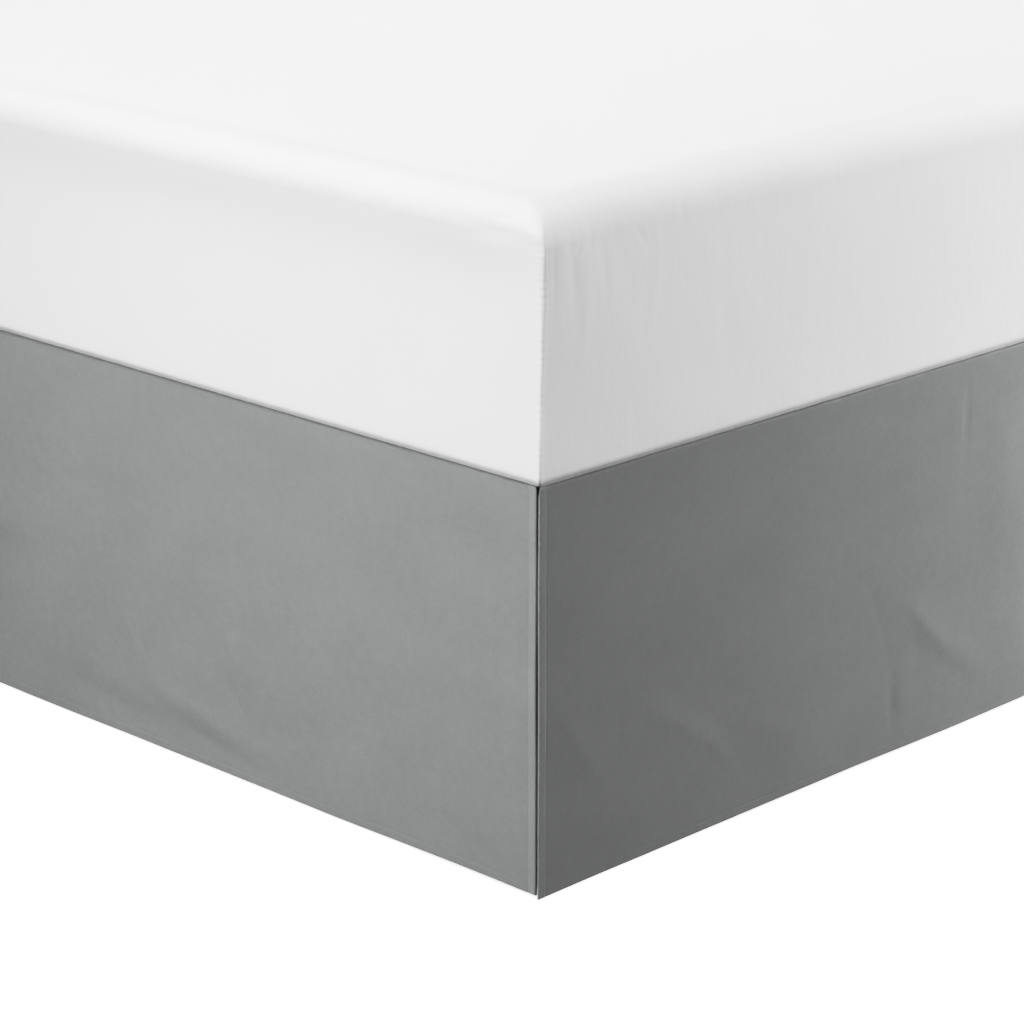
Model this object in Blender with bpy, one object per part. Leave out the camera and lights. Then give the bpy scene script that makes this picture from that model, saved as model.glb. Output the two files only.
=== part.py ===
"""A tailored bed skirt: a deck cloth with three drops, on a box base with legs, under a mattress.

Metres, +Z up. The origin is on the floor under the middle of the bed, and +Y points to the head.
Each drop is one sheet: a head strip that lies on the base, a bend, and the hanging cloth with its hems.
"""

import math
from collections import namedtuple

import bmesh
import bpy
from mathutils import Vector

# Driving sizes
MATTRESS_WIDTH = 1.524
MATTRESS_LENGTH = 2.032
MATTRESS_HEIGHT = 0.255
DROP = 0.3797
HEM_CLEARANCE = 0.006
OVERHANG = 0.004
GAP = 0.0003

# Cloth
CLOTH = 0.0015
HEM_THICKNESS = 0.003
BOTTOM_HEM = 0.012
SIDE_HEM = 0.010
HEM_STEP = 0.0015
SLIT = 0.0015
HEAD_STRIP = 0.020
BEND_RADIUS = 0.0065
BEND_STEPS = 2

# Levels and faces
MATTRESS_BOTTOM = HEM_CLEARANCE + DROP
SKIRT_TOP = MATTRESS_BOTTOM - GAP
BASE_TOP = SKIRT_TOP - CLOTH - GAP
X_FACE = MATTRESS_WIDTH / 2 - OVERHANG
Y_FACE = MATTRESS_LENGTH / 2 - OVERHANG

# Base and legs
BASE_SETBACK = 0.0055
BASE_HEIGHT = 0.200
BASE_CORNER = 0.020
BASE_EDGE = 0.008
LEG_FOOT_RADIUS = 0.022
LEG_TOP_RADIUS = 0.030
LEG_SIDES = 20
LEG_FROM_SIDE = 0.095
LEG_FROM_END = 0.130

# Mattress form
MATTRESS_CORNER = 0.006
BOTTOM_ROLL = 0.008
LIP_OUT = 0.001
SIDE_HOLLOW = 0.0015
HOLLOW_AT = 0.62
ROLL_STANDS = 0.0025
TOP_ROLL = 0.045
CORNER_FALL = 0.006
CROWN = 0.006
CROWN_STARTS = 0.100
BOTTOM_INSETS = (0.42, 0.15)
TOP_INSETS = (0.12, 0.26, 0.42, 0.60)
INSET_ROUNDING = 0.4
OUTLINE_STEPS = 8
SIDE_LEVELS = 5
BOTTOM_ROLL_STEPS = 3
ROLL_STEPS = 5

# Hanging of the cloth: it is held flat near the bend, and it stays off the base behind it
HELD_DEPTH = 0.075
MOST_INWARD = 0.006
MOST_INWARD_AT_BASE = 0.0005
BASE_FADE = 0.050
HEM_WAVES = ((0.0006, 7.3, 1.1), (0.0004, 17.9, 0.0))

# Columns of a drop
COARSE_COLUMN = 0.037
FINE_COLUMN = 0.015

UP = Vector((0, 0, 1))

# A fold is a soft ridge, or a trough where lift is negative. along and up give its middle,
# from the +X foot corner or the foot end and from the hem. lean is in degrees from upright.
Fold = namedtuple("Fold", "along up lean width length lift")

FOOT_FOLDS = [
    Fold(0.024, 0.190, 0, 0.012, 0.200, 0.0006),
    Fold(0.110, 0.350, 88, 0.030, 0.120, 0.0008),
    Fold(0.200, 0.070, 70, 0.030, 0.100, -0.0006),
    Fold(0.333, 0.170, 24, 0.014, 0.055, 0.0014),
    Fold(0.332, 0.100, 36, 0.012, 0.030, 0.0012),
    Fold(0.404, 0.130, 24, 0.012, 0.050, 0.0018),
    Fold(0.400, 0.250, 14, 0.014, 0.050, 0.0007),
    Fold(0.450, 0.050, 78, 0.014, 0.070, 0.0013),
    Fold(0.563, 0.116, 36, 0.014, 0.040, 0.0012),
    Fold(0.540, 0.026, 86, 0.016, 0.130, -0.0009),
    Fold(0.655, 0.180, -2, 0.048, 0.140, 0.0034),
    Fold(0.770, 0.130, 0, 0.045, 0.130, -0.0026),
    Fold(0.900, 0.130, 3, 0.045, 0.140, 0.0034),
    Fold(1.030, 0.070, -8, 0.035, 0.100, 0.0022),
    Fold(1.190, 0.160, -5, 0.042, 0.150, 0.0032),
    Fold(1.330, 0.050, -35, 0.022, 0.070, 0.0018),
    Fold(1.440, 0.120, -15, 0.026, 0.110, 0.0014),
]

RIGHT_FOLDS = [
    Fold(0.052, 0.128, -34, 0.016, 0.060, 0.0004),
    Fold(0.181, 0.116, -57, 0.016, 0.070, 0.0005),
    Fold(0.340, 0.060, -60, 0.024, 0.070, 0.0005),
    Fold(0.512, 0.060, -8, 0.014, 0.030, 0.0006),
    Fold(0.545, 0.120, -45, 0.014, 0.040, 0.0008),
    Fold(0.580, 0.325, 0, 0.012, 0.042, 0.0005),
    Fold(0.600, 0.078, -55, 0.016, 0.055, 0.0010),
    Fold(0.657, 0.243, -2, 0.024, 0.090, 0.0014),
    Fold(0.730, 0.160, 0, 0.030, 0.120, -0.0020),
    Fold(0.830, 0.150, 4, 0.045, 0.140, 0.0032),
    Fold(0.990, 0.080, -6, 0.036, 0.110, 0.0022),
    Fold(1.140, 0.170, 2, 0.040, 0.150, 0.0034),
    Fold(1.290, 0.040, 55, 0.026, 0.090, -0.0018),
    Fold(1.420, 0.130, -4, 0.042, 0.140, 0.0030),
    Fold(1.600, 0.080, 8, 0.036, 0.110, 0.0024),
    Fold(1.765, 0.160, -3, 0.040, 0.140, 0.0030),
    Fold(1.920, 0.070, -25, 0.028, 0.080, 0.0016),
]

LEFT_FOLDS = [
    Fold(0.090, 0.110, -30, 0.024, 0.080, 0.0012),
    Fold(0.240, 0.140, -4, 0.040, 0.130, 0.0028),
    Fold(0.395, 0.060, 40, 0.026, 0.070, 0.0018),
    Fold(0.560, 0.170, 3, 0.042, 0.150, 0.0034),
    Fold(0.700, 0.040, 60, 0.026, 0.090, -0.0020),
    Fold(0.845, 0.130, -5, 0.040, 0.130, 0.0030),
    Fold(1.010, 0.080, 6, 0.036, 0.110, 0.0022),
    Fold(1.185, 0.160, -2, 0.044, 0.150, 0.0034),
    Fold(1.350, 0.060, -45, 0.026, 0.080, 0.0018),
    Fold(1.520, 0.150, 4, 0.040, 0.140, 0.0030),
    Fold(1.690, 0.070, -6, 0.034, 0.100, 0.0022),
    Fold(1.880, 0.140, 20, 0.030, 0.110, 0.0016),
]

# A drop's along axis starts at corner, and its cloth runs from start to end on it.
# mitre_end says whether its far end meets another drop. fine is the stretch with close folds.
# Each of its dips is a place where the hem hangs lower: its middle, its width and its depth.
Drop = namedtuple("Drop", "name corner along out start end mitre_end fine dips folds")

FOOT_INSET = HEM_THICKNESS + SLIT
DROPS = [
    Drop(
        name="drop_foot",
        corner=Vector((X_FACE, -Y_FACE, 0)),
        along=Vector((-1, 0, 0)),
        out=Vector((0, -1, 0)),
        start=FOOT_INSET,
        end=2 * X_FACE - FOOT_INSET,
        mitre_end=True,
        fine=(0.285, 0.600),
        dips=((0.30, 0.36, 0.0013), (0.77, 0.09, 0.0026)),
        folds=FOOT_FOLDS,
    ),
    Drop(
        name="drop_right",
        corner=Vector((X_FACE, -Y_FACE, 0)),
        along=Vector((0, 1, 0)),
        out=Vector((1, 0, 0)),
        start=0.0,
        end=2 * Y_FACE,
        mitre_end=False,
        fine=(0.470, 0.700),
        dips=((0.0, 0.20, 0.0034),),
        folds=RIGHT_FOLDS,
    ),
    Drop(
        name="drop_left",
        corner=Vector((-X_FACE, -Y_FACE, 0)),
        along=Vector((0, 1, 0)),
        out=Vector((-1, 0, 0)),
        start=0.0,
        end=2 * Y_FACE,
        mitre_end=False,
        fine=(0.0, 0.0),
        dips=((0.0, 0.15, 0.0010),),
        folds=LEFT_FOLDS,
    ),
]

# Heights of a drop's rows above its hem, from the bend down to the hem's fold
DROP_ROWS = (0.335, 0.290, 0.245, 0.200, 0.155, 0.110, 0.072, 0.040)


def clear_scene():
    for obj in list(bpy.data.objects):
        bpy.data.objects.remove(obj, do_unlink=True)


def plain_material(name, colour, roughness):
    material = bpy.data.materials.new(name)
    material.use_nodes = True
    shader = material.node_tree.nodes["Principled BSDF"]
    shader.inputs["Base Color"].default_value = (*colour, 1.0)
    shader.inputs["Roughness"].default_value = roughness
    shader.inputs["Metallic"].default_value = 0.0
    return material


def object_from(name, shape, material, smooth_angle=35):
    mesh = bpy.data.meshes.new(name)
    shape.to_mesh(mesh)
    shape.free()
    mesh.shade_smooth()
    mesh.set_sharp_from_angle(angle=math.radians(smooth_angle))
    mesh.materials.append(material)
    obj = bpy.data.objects.new(name, mesh)
    bpy.context.scene.collection.objects.link(obj)
    return obj


def smoothstep(low, high, value):
    t = min(max((value - low) / (high - low), 0.0), 1.0)
    return t * t * (3 - 2 * t)


# Drops


def fold_lift(fold, along, up):
    lean = math.radians(fold.lean)
    across = (along - fold.along) * math.cos(lean) - (up - fold.up) * math.sin(lean)
    down = (along - fold.along) * math.sin(lean) + (up - fold.up) * math.cos(lean)
    return fold.lift * math.exp(-((across / fold.width) ** 2) - (down / fold.length) ** 2)


def sway(drop, along, up):
    """How far the cloth stands out from its flat plane: nothing at the bend, free at the hem."""
    total = sum(fold_lift(fold, along, up) for fold in drop.folds)
    held = smoothstep(0.0, HELD_DEPTH, DROP - up)
    base_bottom = DROP - BASE_HEIGHT
    in_front_of_base = smoothstep(base_bottom - BASE_FADE, base_bottom, up)
    inward_limit = MOST_INWARD + (MOST_INWARD_AT_BASE - MOST_INWARD) * in_front_of_base
    return max(total * held, -inward_limit)


def hem_level(drop, along):
    """The hem's height above the floor: a slow wave, lower at the drop's dips."""
    wave = sum(height * math.sin(along * rate + phase) for height, rate, phase in HEM_WAVES)
    dip = sum(depth * math.exp(-(((along - place) / width) ** 2)) for place, width, depth in drop.dips)
    return HEM_CLEARANCE + wave - dip


def column_places(drop):
    """Places along the drop: its side hems, then coarse columns, with fine ones among close folds."""
    inner_start = drop.start + SIDE_HEM + HEM_STEP
    inner_end = drop.end - SIDE_HEM - HEM_STEP
    places = [drop.start, drop.start + SIDE_HEM]
    stretches = [
        (inner_start, max(drop.fine[0], inner_start), COARSE_COLUMN),
        (max(drop.fine[0], inner_start), max(drop.fine[1], inner_start), FINE_COLUMN),
        (max(drop.fine[1], inner_start), inner_end, COARSE_COLUMN),
    ]
    for low, high, column in stretches:
        count = round((high - low) / column)
        places += [low + (high - low) * step / count for step in range(count)]
    places += [inner_end, drop.end - SIDE_HEM, drop.end]
    return places


def head_rows():
    """(inward, level) of the head strip and the bend, as the cloth's outer face."""
    rows = [(HEAD_STRIP, SKIRT_TOP), (BEND_RADIUS, SKIRT_TOP)]
    for step in range(1, BEND_STEPS + 1):
        turn = math.radians(90) * step / BEND_STEPS
        inward = BEND_RADIUS * (1 - math.sin(turn))
        rows.append((inward, SKIRT_TOP - BEND_RADIUS * (1 - math.cos(turn))))
    return rows


def head_point(drop, along, inward, level):
    """A point of the strip or the bend, drawn in along the drop where a mitre cuts it."""
    start = drop.start + inward
    end = drop.end - inward if drop.mitre_end else drop.end
    place = start + (along - drop.start) * (end - start) / (drop.end - drop.start)
    return drop.corner + drop.along * place - drop.out * inward + UP * level


def hanging_point(drop, along, up):
    """A point of the hanging cloth. Rows share out the small rise and fall of the hem."""
    share = 1 - up / DROP
    level = HEM_CLEARANCE + up + (hem_level(drop, along) - HEM_CLEARANCE) * share
    return drop.corner + drop.along * along + drop.out * sway(drop, along, up) + UP * level


def drop_column(drop, along):
    points = [head_point(drop, along, inward, level) for inward, level in head_rows()]
    heights = DROP_ROWS + (BOTTOM_HEM + HEM_STEP, BOTTOM_HEM, 0.0)
    return points + [hanging_point(drop, along, up) for up in heights]


def make_drop(drop, material):
    shape = bmesh.new()
    places = column_places(drop)
    columns = [[shape.verts.new(point) for point in drop_column(drop, place)] for place in places]
    facing_out = drop.along.cross(-UP).dot(drop.out) > 0
    for near, far in zip(columns, columns[1:]):
        for row in range(len(near) - 1):
            corners = [near[row], far[row], far[row + 1], near[row + 1]]
            shape.faces.new(corners if facing_out else corners[::-1])
    row_count = len(columns[0])
    obj = object_from(drop.name, shape, material)
    thicken(obj, len(places), row_count)
    return obj


def thicken(obj, column_count, row_count):
    """Gives the sheet its thickness inward: full in the hems, a single cloth elsewhere."""
    hems = obj.vertex_groups.new(name="hems")
    body = CLOTH / HEM_THICKNESS
    for column in range(column_count):
        for row in range(row_count):
            side_hem = column < 2 or column >= column_count - 2
            hanging = row >= BEND_STEPS + 1
            in_hem = row >= row_count - 2 or (side_hem and hanging)
            hems.add([column * row_count + row], 1.0 if in_hem else body, "REPLACE")
    solid = obj.modifiers.new("Thickness", "SOLIDIFY")
    solid.thickness = HEM_THICKNESS
    solid.offset = -1.0
    solid.use_even_offset = False
    solid.vertex_group = hems.name


# Deck


def make_deck(material):
    """The flat cloth over the base. The drops are sewn to three of its edges."""
    half_x = X_FACE - HEAD_STRIP - GAP
    foot_y = -Y_FACE + HEAD_STRIP + GAP
    head_y = Y_FACE - BASE_SETBACK - BASE_EDGE
    size = Vector((2 * half_x, head_y - foot_y, CLOTH))
    middle = Vector((0, (head_y + foot_y) / 2, BASE_TOP + GAP + CLOTH / 2))
    shape = bmesh.new()
    bmesh.ops.create_cube(shape, size=1.0)
    bmesh.ops.scale(shape, vec=size, verts=shape.verts)
    bmesh.ops.translate(shape, vec=middle, verts=shape.verts)
    return object_from("deck", shape, material)


# Base, legs and mattress


def rounded_rectangle(half_x, half_y, radius, side_steps, corner_steps=3):
    """Points round a rectangle with round corners, anticlockwise, its sides divided evenly."""
    points = []
    quarters = [(1, -1, -90), (1, 1, 0), (-1, 1, 90), (-1, -1, 180)]
    for sign_x, sign_y, first in quarters:
        for step in range(corner_steps + 1):
            turn = math.radians(first + 90 * step / corner_steps)
            x = sign_x * (half_x - radius) + radius * math.cos(turn)
            y = sign_y * (half_y - radius) + radius * math.sin(turn)
            points.append((x, y))
    return divided_sides(points, corner_steps + 1, side_steps)


def divided_sides(points, corner_count, side_steps):
    divided = []
    for index, (x, y) in enumerate(points):
        divided.append((x, y))
        next_x, next_y = points[(index + 1) % len(points)]
        if index % corner_count == corner_count - 1:
            for step in range(1, side_steps):
                share = step / side_steps
                divided.append((x + (next_x - x) * share, y + (next_y - y) * share))
    return divided


def close_with_fan(shape, loop, facing_up):
    """Closes an end of a stack of rings with triangles that meet over its middle."""
    middle = Vector((0, 0, sum(point.co.z for point in loop) / len(loop)))
    centre = shape.verts.new(middle)
    for index, point in enumerate(loop):
        after = loop[(index + 1) % len(loop)]
        corners = (point, after, centre) if facing_up else (after, point, centre)
        shape.faces.new(corners)


def stacked(rings):
    """A closed solid through rings of equal point counts, from the bottom ring to the top one."""
    shape = bmesh.new()
    loops = [[shape.verts.new(point) for point in ring] for ring in rings]
    for lower, upper in zip(loops, loops[1:]):
        for index in range(len(lower)):
            after = (index + 1) % len(lower)
            shape.faces.new((lower[index], lower[after], upper[after], upper[index]))
    close_with_fan(shape, loops[0], facing_up=False)
    close_with_fan(shape, loops[-1], facing_up=True)
    return shape


def make_base(material):
    half_x = X_FACE - BASE_SETBACK
    half_y = Y_FACE - BASE_SETBACK
    sections = [(0.0, BASE_TOP - BASE_HEIGHT)]
    for step in range(ROLL_STEPS):
        turn = math.radians(90) * step / (ROLL_STEPS - 1)
        sections.append((BASE_EDGE * (1 - math.cos(turn)), BASE_TOP - BASE_EDGE * (1 - math.sin(turn))))
    rings = []
    for inset, level in sections:
        outline = rounded_rectangle(half_x - inset, half_y - inset, BASE_CORNER, 1)
        rings.append([(x, y, level) for x, y in outline])
    return object_from("bed_base", stacked(rings), material)


def make_legs(material):
    height = BASE_TOP - BASE_HEIGHT - GAP
    side_x = X_FACE - LEG_FROM_SIDE
    end_y = Y_FACE - LEG_FROM_END
    places = [(x, y) for y in (-end_y, 0.0, end_y) for x in (-side_x, side_x)]
    for number, (x, y) in enumerate(places, start=1):
        shape = bmesh.new()
        bmesh.ops.create_cone(
            shape,
            cap_ends=True,
            segments=LEG_SIDES,
            radius1=LEG_FOOT_RADIUS,
            radius2=LEG_TOP_RADIUS,
            depth=height,
        )
        leg = object_from(f"leg_{number}", shape, material)
        leg.location = (x, y, height / 2)


def side_shift(share):
    """How far the side stands out at a share of its height: hollow between the lip and the roll."""
    below = (SIDE_HOLLOW + LIP_OUT) * (1 - smoothstep(0.0, HOLLOW_AT, share))
    above = (SIDE_HOLLOW + ROLL_STANDS) * smoothstep(HOLLOW_AT, 1.0, share)
    return below + above - SIDE_HOLLOW


def mattress_sections():
    """(inset, level) from the underside: bottom roll, slightly hollow side, top roll, then the top."""
    half_turn = math.radians(90)
    top = MATTRESS_BOTTOM + MATTRESS_HEIGHT - CROWN
    sections = [(inset, MATTRESS_BOTTOM) for inset in BOTTOM_INSETS]
    for step in range(BOTTOM_ROLL_STEPS + 1):
        turn = half_turn * step / BOTTOM_ROLL_STEPS
        inset = BOTTOM_ROLL * (1 - math.sin(turn)) - LIP_OUT * step / BOTTOM_ROLL_STEPS
        sections.append((inset, MATTRESS_BOTTOM + BOTTOM_ROLL * (1 - math.cos(turn))))
    side_height = MATTRESS_HEIGHT - CROWN - BOTTOM_ROLL - TOP_ROLL
    for step in range(1, SIDE_LEVELS):
        share = step / SIDE_LEVELS
        level = MATTRESS_BOTTOM + BOTTOM_ROLL + side_height * share
        sections.append((-side_shift(share), level))
    for step in range(ROLL_STEPS + 1):
        turn = half_turn * step / ROLL_STEPS
        inset = TOP_ROLL * (1 - math.cos(turn)) - ROLL_STANDS * math.cos(turn)
        sections.append((inset, top - TOP_ROLL * (1 - math.sin(turn))))
    return sections


def mattress_level(x, y, level):
    """Lowers the roll towards the corners, and crowns the top."""
    share_x = min(abs(x) / (MATTRESS_WIDTH / 2), 1.0)
    share_y = min(abs(y) / (MATTRESS_LENGTH / 2), 1.0)
    edge_top = MATTRESS_BOTTOM + MATTRESS_HEIGHT - CROWN
    rising = smoothstep(MATTRESS_BOTTOM + CROWN_STARTS, edge_top, level)
    fall = CORNER_FALL * (share_x * share_y) ** 3
    crown = CROWN * (1 - share_x**2) * (1 - share_y**2)
    return level + rising * (crown - fall)


def make_mattress(material):
    sections = mattress_sections()
    top = sections[-1][1]
    sections += [(inset, top) for inset in TOP_INSETS]
    rings = []
    for inset, level in sections:
        radius = MATTRESS_CORNER + INSET_ROUNDING * max(inset, 0.0)
        half_x = MATTRESS_WIDTH / 2 - inset
        half_y = MATTRESS_LENGTH / 2 - inset
        outline = rounded_rectangle(half_x, half_y, radius, OUTLINE_STEPS)
        rings.append([(x, y, mattress_level(x, y, level)) for x, y in outline])
    return object_from("mattress", stacked(rings), material)


def main():
    clear_scene()
    grey_cloth = plain_material("skirt_cloth", (0.32, 0.34, 0.33), 0.9)
    deck_cloth = plain_material("deck_cloth", (0.42, 0.43, 0.42), 0.9)
    white_cover = plain_material("mattress_cover", (0.86, 0.87, 0.87), 0.85)
    base_cover = plain_material("base_cover", (0.62, 0.61, 0.58), 0.9)
    wood = plain_material("leg_wood", (0.42, 0.27, 0.15), 0.55)
    for drop in DROPS:
        make_drop(drop, grey_cloth)
    make_deck(deck_cloth)
    make_base(base_cover)
    make_legs(wood)
    make_mattress(white_cover)


main()
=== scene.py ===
"""The looks of a tailored grey bed skirt that hangs between a white mattress and its base."""

import math
from collections import namedtuple

import bpy
import numpy as np
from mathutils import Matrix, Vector


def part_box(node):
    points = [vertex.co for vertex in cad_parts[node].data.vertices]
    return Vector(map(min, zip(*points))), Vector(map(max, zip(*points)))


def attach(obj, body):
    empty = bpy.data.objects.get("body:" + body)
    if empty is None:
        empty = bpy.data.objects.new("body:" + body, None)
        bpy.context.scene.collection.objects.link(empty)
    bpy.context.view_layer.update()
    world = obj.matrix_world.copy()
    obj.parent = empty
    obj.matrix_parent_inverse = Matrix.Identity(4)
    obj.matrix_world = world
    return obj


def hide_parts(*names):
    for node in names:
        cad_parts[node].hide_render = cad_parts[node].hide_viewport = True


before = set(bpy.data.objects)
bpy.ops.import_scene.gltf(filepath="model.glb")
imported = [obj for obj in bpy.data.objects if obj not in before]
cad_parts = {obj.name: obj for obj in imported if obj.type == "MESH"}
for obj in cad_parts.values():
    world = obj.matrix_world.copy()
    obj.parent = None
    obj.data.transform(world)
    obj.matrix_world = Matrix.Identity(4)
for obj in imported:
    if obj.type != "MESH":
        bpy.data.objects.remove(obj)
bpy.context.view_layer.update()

# Places read from the frame
BASE_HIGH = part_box("bed_base")[1]
DECK_LOW, DECK_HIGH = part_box("deck")
MATTRESS_LOW, MATTRESS_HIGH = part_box("mattress")
LEG_NAMES = [f"leg_{number}" for number in range(1, 7)]

# Cloth sizes
CLOTH = 0.0013
HEM_THICKNESS = 0.0030
HEM_STEP = 0.0010
SIDE_HEM = 0.0100
BOTTOM_HEM = 0.0120
SIDE_STITCH = 0.0086
HEM_PUFF = 0.00015
PUFF_ENDS = 0.001
PUFF_FULL = 0.002
STITCH_GROOVE = 0.00022
STITCH_GROOVE_WIDTH = 0.0009
BOTTOM_GROOVE_SHARE = 0.5
HEM_CLEARANCE = 0.006
SLIT = 0.0015
HEAD_STRIP = 0.020
BEND_RADIUS = 0.0038
CORNER_BEND = 0.45
CORNER_BEND_REACH = 0.012
BASE_SETBACK = 0.0055
BASE_HEIGHT = 0.200

X_FACE = BASE_HIGH.x + BASE_SETBACK
Y_FACE = BASE_HIGH.y + BASE_SETBACK
SKIRT_TOP = DECK_HIGH.z
DROP = SKIRT_TOP - HEM_CLEARANCE

# Hanging of the cloth, as in its solids
HELD_DEPTH = 0.075
MOST_INWARD = 0.006
MOST_INWARD_AT_BASE = 0.0005
BASE_FADE = 0.050
FINE_STARTS = 0.012
HEM_WAVES = ((0.0006, 7.3, 1.1), (0.0004, 17.9, 0.0))

# (height, rate along, rate up, share of the drop's own phase) of slow, slight waves
SMALL_WAVES = (
    (0.00018, 31.0, 9.0, 1.0),
    (0.00018, 17.0, -23.0, 1.7),
    (0.00008, 53.0, 37.0, 2.3),
    (0.00003, 97.0, -61.0, 0.7),
)

# The bottom hem's stitch line: its height over the hem, its fall at the split corner, its wander
STITCH_LINE = 0.0098
STITCH_LINE_FALL = 0.0026
STITCH_LINE_FALL_LENGTH = 0.16
STITCH_LINE_WANDER = 0.0006

# A fold is a soft ridge, or a trough where lift is negative. along and up give its middle,
# from the +X foot corner or the foot end and from the hem. lean is in degrees from upright.
Fold = namedtuple("Fold", "along up lean width length lift")

FOOT_FOLDS = [
    Fold(0.024, 0.190, 0, 0.012, 0.200, 0.0006),
    Fold(0.110, 0.350, 88, 0.030, 0.120, 0.0008),
    Fold(0.200, 0.070, 70, 0.030, 0.100, -0.0006),
    Fold(0.333, 0.170, 24, 0.014, 0.055, 0.0014),
    Fold(0.332, 0.100, 36, 0.012, 0.030, 0.0012),
    Fold(0.404, 0.130, 24, 0.012, 0.050, 0.0018),
    Fold(0.400, 0.250, 14, 0.014, 0.050, 0.0007),
    Fold(0.450, 0.050, 78, 0.014, 0.070, 0.0013),
    Fold(0.563, 0.116, 36, 0.014, 0.040, 0.0012),
    Fold(0.540, 0.026, 86, 0.016, 0.130, -0.0009),
    Fold(0.655, 0.180, -2, 0.048, 0.140, 0.0034),
    Fold(0.770, 0.130, 0, 0.045, 0.130, -0.0026),
    Fold(0.900, 0.130, 3, 0.045, 0.140, 0.0034),
    Fold(1.030, 0.070, -8, 0.035, 0.100, 0.0022),
    Fold(1.190, 0.160, -5, 0.042, 0.150, 0.0032),
    Fold(1.330, 0.050, -35, 0.022, 0.070, 0.0018),
    Fold(1.440, 0.120, -15, 0.026, 0.110, 0.0014),
]

RIGHT_FOLDS = [
    Fold(0.052, 0.128, -34, 0.016, 0.060, 0.0004),
    Fold(0.181, 0.116, -57, 0.016, 0.070, 0.0005),
    Fold(0.340, 0.060, -60, 0.024, 0.070, 0.0005),
    Fold(0.512, 0.060, -8, 0.014, 0.030, 0.0006),
    Fold(0.545, 0.120, -45, 0.014, 0.040, 0.0008),
    Fold(0.580, 0.325, 0, 0.012, 0.042, 0.0005),
    Fold(0.600, 0.078, -55, 0.016, 0.055, 0.0010),
    Fold(0.657, 0.243, -2, 0.024, 0.090, 0.0014),
    Fold(0.730, 0.160, 0, 0.030, 0.120, -0.0020),
    Fold(0.830, 0.150, 4, 0.045, 0.140, 0.0032),
    Fold(0.990, 0.080, -6, 0.036, 0.110, 0.0022),
    Fold(1.140, 0.170, 2, 0.040, 0.150, 0.0034),
    Fold(1.290, 0.040, 55, 0.026, 0.090, -0.0018),
    Fold(1.420, 0.130, -4, 0.042, 0.140, 0.0030),
    Fold(1.600, 0.080, 8, 0.036, 0.110, 0.0024),
    Fold(1.765, 0.160, -3, 0.040, 0.140, 0.0030),
    Fold(1.920, 0.070, -25, 0.028, 0.080, 0.0016),
]

LEFT_FOLDS = [
    Fold(0.090, 0.110, -30, 0.024, 0.080, 0.0012),
    Fold(0.240, 0.140, -4, 0.040, 0.130, 0.0028),
    Fold(0.395, 0.060, 40, 0.026, 0.070, 0.0018),
    Fold(0.560, 0.170, 3, 0.042, 0.150, 0.0034),
    Fold(0.700, 0.040, 60, 0.026, 0.090, -0.0020),
    Fold(0.845, 0.130, -5, 0.040, 0.130, 0.0030),
    Fold(1.010, 0.080, 6, 0.036, 0.110, 0.0022),
    Fold(1.185, 0.160, -2, 0.044, 0.150, 0.0034),
    Fold(1.350, 0.060, -45, 0.026, 0.080, 0.0018),
    Fold(1.520, 0.150, 4, 0.040, 0.140, 0.0030),
    Fold(1.690, 0.070, -6, 0.034, 0.100, 0.0022),
    Fold(1.880, 0.140, 20, 0.030, 0.110, 0.0016),
]

# Fine creases that only the dressed cloth shows
FOOT_CREASES = [
    Fold(0.0440, 0.220, 0, 0.0045, 0.120, -0.0003),
    Fold(0.382, 0.163, 24, 0.0050, 0.024, -0.0010),
    Fold(0.404, 0.121, 24, 0.0055, 0.026, 0.0007),
    Fold(0.411, 0.087, 44, 0.0050, 0.024, -0.0013),
    Fold(0.313, 0.172, 27, 0.0050, 0.025, -0.0010),
    Fold(0.323, 0.096, 32, 0.0055, 0.020, -0.0013),
    Fold(0.302, 0.112, 29, 0.0060, 0.022, 0.0005),
    Fold(0.450, 0.030, 79, 0.0055, 0.045, -0.0008),
    Fold(0.621, 0.037, 87, 0.0055, 0.055, -0.0004),
    Fold(0.536, 0.095, 41, 0.0055, 0.022, -0.0010),
    Fold(0.079, 0.159, 76, 0.0040, 0.010, -0.0008),
    Fold(0.950, 0.140, 6, 0.0060, 0.070, 0.0005),
    Fold(1.110, 0.040, 60, 0.0050, 0.040, -0.0005),
    Fold(1.260, 0.090, -20, 0.0050, 0.050, 0.0005),
]
RIGHT_CREASES = [
    Fold(0.5945, 0.318, -2, 0.0032, 0.034, -0.0010),
    Fold(0.594, 0.239, -8, 0.0032, 0.014, -0.0003),
    Fold(0.492, 0.054, -5, 0.0040, 0.020, -0.0010),
    Fold(0.507, 0.056, -10, 0.0060, 0.018, 0.0003),
    Fold(0.534, 0.127, -47, 0.0050, 0.018, 0.0005),
    Fold(0.566, 0.095, -43, 0.0050, 0.022, 0.0005),
    Fold(0.616, 0.056, -57, 0.0070, 0.040, 0.0003),
    Fold(0.530, 0.096, -34, 0.0060, 0.015, -0.0004),
    Fold(0.470, 0.137, -22, 0.0050, 0.060, -0.0004),
    Fold(0.052, 0.128, -34, 0.0050, 0.040, 0.0004),
    Fold(0.181, 0.116, -57, 0.0050, 0.045, 0.0004),
    Fold(0.243, 0.067, -42, 0.0050, 0.026, 0.0005),
    Fold(0.178, 0.061, -23, 0.0045, 0.018, 0.0005),
    Fold(0.310, 0.076, -70, 0.0060, 0.030, 0.0004),
    Fold(0.900, 0.090, 8, 0.0060, 0.060, 0.0005),
    Fold(1.220, 0.060, 50, 0.0050, 0.045, -0.0005),
    Fold(1.510, 0.110, -10, 0.0060, 0.060, 0.0005),
    Fold(1.850, 0.090, -30, 0.0050, 0.040, 0.0005),
]
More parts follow.
